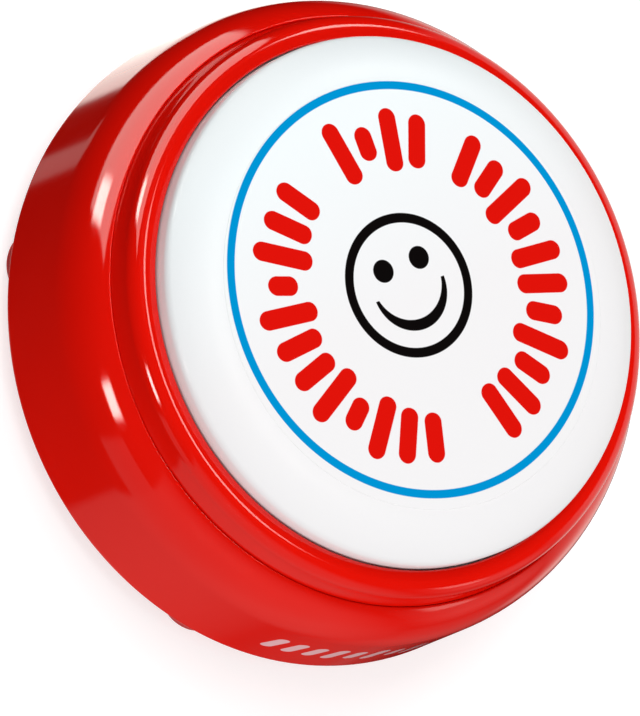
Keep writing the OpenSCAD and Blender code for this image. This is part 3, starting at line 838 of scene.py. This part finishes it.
# %% Floor
deselect_everything()
bpy.ops.mesh.primitive_plane_add(size=6)
floor = bpy.context.object
floor.name = "floor"
floor_paint = Finish("floor_paint")
floor_x, floor_y = floor_paint.coordinates()[:2]
FADE_R = 150
FADE_WIDTH = 120
close = length(floor_x, floor_y).below(FADE_R, FADE_WIDTH)
pale = floor_paint.mix(floor_paint.noise(400, 2), (0.52, 0.52, 0.52), (0.50, 0.50, 0.50))
floor_paint.set(
    Base_Color=floor_paint.mix(close, (0.40, 0.40, 0.40), pale),
    Roughness=0.6,
    Specular_IOR_Level=0.1,
    Emission_Color=floor_paint.mix(close, (0.45, 0.45, 0.45), (1.0, 1.0, 1.0)),
    Emission_Strength=0.62,
)
under = floor_paint.node("ShaderNodeNewGeometry", output="Backfacing")
clear = floor_paint.node("ShaderNodeBsdfTransparent")
one_sided = floor_paint.node(
    "ShaderNodeMixShader", {}, {0: under, 1: floor_paint.shader.outputs[0], 2: clear}
)
surface = floor_paint.tree.nodes["Material Output"].inputs["Surface"]
floor_paint.tree.links.new(one_sided, surface)
dress(floor, floor_paint)
floor.visible_glossy = False
floor.visible_diffuse = False

# %% [markdown]
# A gloss part is lit by what it reflects, so the sky carries soft pale panels against a dark
# room, which draw the long highlights on the red shoulder. Only gloss rays see the panels. All
# other rays see a plain room that is brighter on one side, and the backdrop is a light grey.

# %% Sky
world = bpy.context.scene.world or bpy.data.worlds.new("studio")
bpy.context.scene.world = world
world.use_nodes = True
sky = world.node_tree
sky.nodes.clear()


def direction(azimuth, elevation):
    a, e = math.radians(azimuth), math.radians(elevation)
    return Vector((math.cos(a) * math.cos(e), math.sin(a) * math.cos(e), math.sin(e)))


class Sky:
    """Works out how bright the room looks in each direction."""

    def __init__(self):
        place = sky.nodes.new("ShaderNodeTexCoord")
        split = sky.nodes.new("ShaderNodeSeparateXYZ")
        sky.links.new(place.outputs["Generated"], split.inputs[0])
        self.x, self.y, self.z = [Value(sky, out) for out in split.outputs]

    def panel(self, azimuth, elevation, wide, tall, soft, power):
        """A soft-edged rectangle of light; wide and tall are half angles in degrees."""
        ahead = direction(azimuth, elevation)
        right = direction(azimuth - 90, 0)
        up = right.cross(ahead)
        forward = self.x * ahead.x + self.y * ahead.y + self.z * ahead.z
        side = (self.x * right.x + self.y * right.y + self.z * right.z) / forward.highest(0.01)
        high = (self.x * up.x + self.y * up.y + self.z * up.z) / forward.highest(0.01)
        shape = abs(side).below(math.tan(math.radians(wide)), soft)
        shape = shape * abs(high).below(math.tan(math.radians(tall)), soft)
        return shape * (1.0 - forward.below(0.02, 0.01)) * power


room = Sky()
edge = direction(-71, 0)
near_side = 1.0 - (room.x * edge.x + room.y * edge.y).below(0.0, 0.03)
far_side = 1.0 - near_side
DARK_ROOM = 0.004
# azimuth, elevation, half width, half height, softness, power, and the side that it is kept to
panels = [
    (89, 20, 32, 28, 0.04, 4.2, None),
    (115.5, 11, 6, 10.5, 0.055, 17, None),
    (172, 12.5, 5, 8.5, 0.04, 20, None),
    (-4, 76, 14, 5, 0.06, 8, None),
    (26, 44, 6, 6, 0.06, 9, None),
    (-10, -5, 32, 40, 0.3, 1.1, None),
    (79, -55, 3, 6, 0.02, 0.45, None),
    (20, -57, 16, 7, 0.03, 1.6, None),
    (-150, -10, 62, 50, 1.4, 0.42, near_side),
    (-168, -15, 10, 18, 0.04, 0.35, far_side),
    (-60, -35, 20, 20, 0.4, 0.16, None),
    (-62, 8, 15, 18, 0.3, 0.5, None),
    (-68, 24, 5, 6, 0.06, 2.0, None),
    (0, -90, 23, 23, 0.15, 0.8, None),
]
seen = DARK_ROOM
for *shape, side in panels:
    glow = room.panel(*shape)
    seen = seen + (glow * side if side else glow)
paths = sky.nodes.new("ShaderNodeLightPath")
glossy = Value(sky, paths.outputs["Is Glossy Ray"])
backdrop = Value(sky, paths.outputs["Is Camera Ray"])
warm_side = direction(-115, 0)
toward = room.x * warm_side.x + room.y * warm_side.y
ambient = (0.42 + 0.12 * room.z + 0.57 * toward).highest(0.02)
ambient = ambient + 0.5 * room.z.below(-0.7, 0.3)
BACKDROP = 0.62
strength = seen * glossy + BACKDROP * backdrop + (1.0 - glossy - backdrop) * ambient
world.cycles.sampling_method = "NONE"
WARM_WHITE = (1.0, 0.97, 0.90)
background = sky.nodes.new("ShaderNodeBackground")
tint = sky.nodes.new("ShaderNodeMix")
tint.data_type = "RGBA"
sky.links.new(glossy.socket, tint.inputs["Factor"])
tint.inputs[6].default_value = (1, 1, 1, 1)
tint.inputs[7].default_value = (*WARM_WHITE, 1)
sky.links.new(tint.outputs[2], background.inputs["Color"])
sky.links.new(strength.socket, background.inputs["Strength"])
output = sky.nodes.new("ShaderNodeOutputWorld")
sky.links.new(background.outputs[0], output.inputs[0])

# %% [markdown]
# Two lamps behind the object and a weaker one in front of it give the soft shade. They are
# hidden from gloss rays and from the camera, so only the panels are mirrored.


# %% Lamps
def lamp(name, azimuth, elevation, distance, width, height, power):
    deselect_everything()
    ahead = direction(azimuth, elevation)
    bpy.ops.object.light_add(type="AREA", location=ahead * distance)
    made = bpy.context.object
    made.name = name
    made.data.shape = "RECTANGLE"
    made.data.size = width
    made.data.size_y = height
    made.data.energy = power
    made.visible_glossy = False
    made.visible_camera = False
    made.rotation_mode = "QUATERNION"
    made.rotation_quaternion = ahead.to_track_quat("Z", "Y")
    return made


lamp("key_screen", 85, 60, 1.2, 0.9, 0.9, 8.2)
lamp("back_screen", 30, 40, 1.2, 0.7, 0.7, 3.0)
lamp("fill_screen", -135, 18, 1.2, 0.5, 0.5, 2.9)

# %% [markdown]
# The camera looks down on the dome from the left, with a long lens, so the round parts hardly
# narrow with distance. It is tipped sideways, as a hand-held product shot often is.

# %% Camera
LENS_MM = 287.8
SEAT = Vector((-0.4288, -0.0033, 0.6754))
FORWARD = Vector((0.538, 0.0, -0.843))
RIGHT = Vector((0.783, -0.372, 0.499))
camera_turn = Matrix.Rotation(math.radians(-LABEL_TURN), 3, "Z")
forward = (camera_turn @ FORWARD).normalized()
right = (camera_turn @ RIGHT).normalized()
up = right.cross(forward).normalized()
bpy.ops.object.camera_add()
camera = bpy.context.object
camera.name = "camera"
turn = Matrix((right, up, -forward)).transposed().to_4x4()
seat = camera_turn @ SEAT + Vector((0, 0, SKIRT_Z * MM))
camera.matrix_world = Matrix.Translation(seat) @ turn
camera.data.lens = LENS_MM
camera.data.sensor_width = 36
camera.data.clip_start = 0.01
camera.data.clip_end = 20
bpy.context.scene.camera = camera
bpy.context.scene.view_settings.view_transform = "Standard"
print("camera at", [round(v, 3) for v in seat])

# %% Finish
deselect_everything()
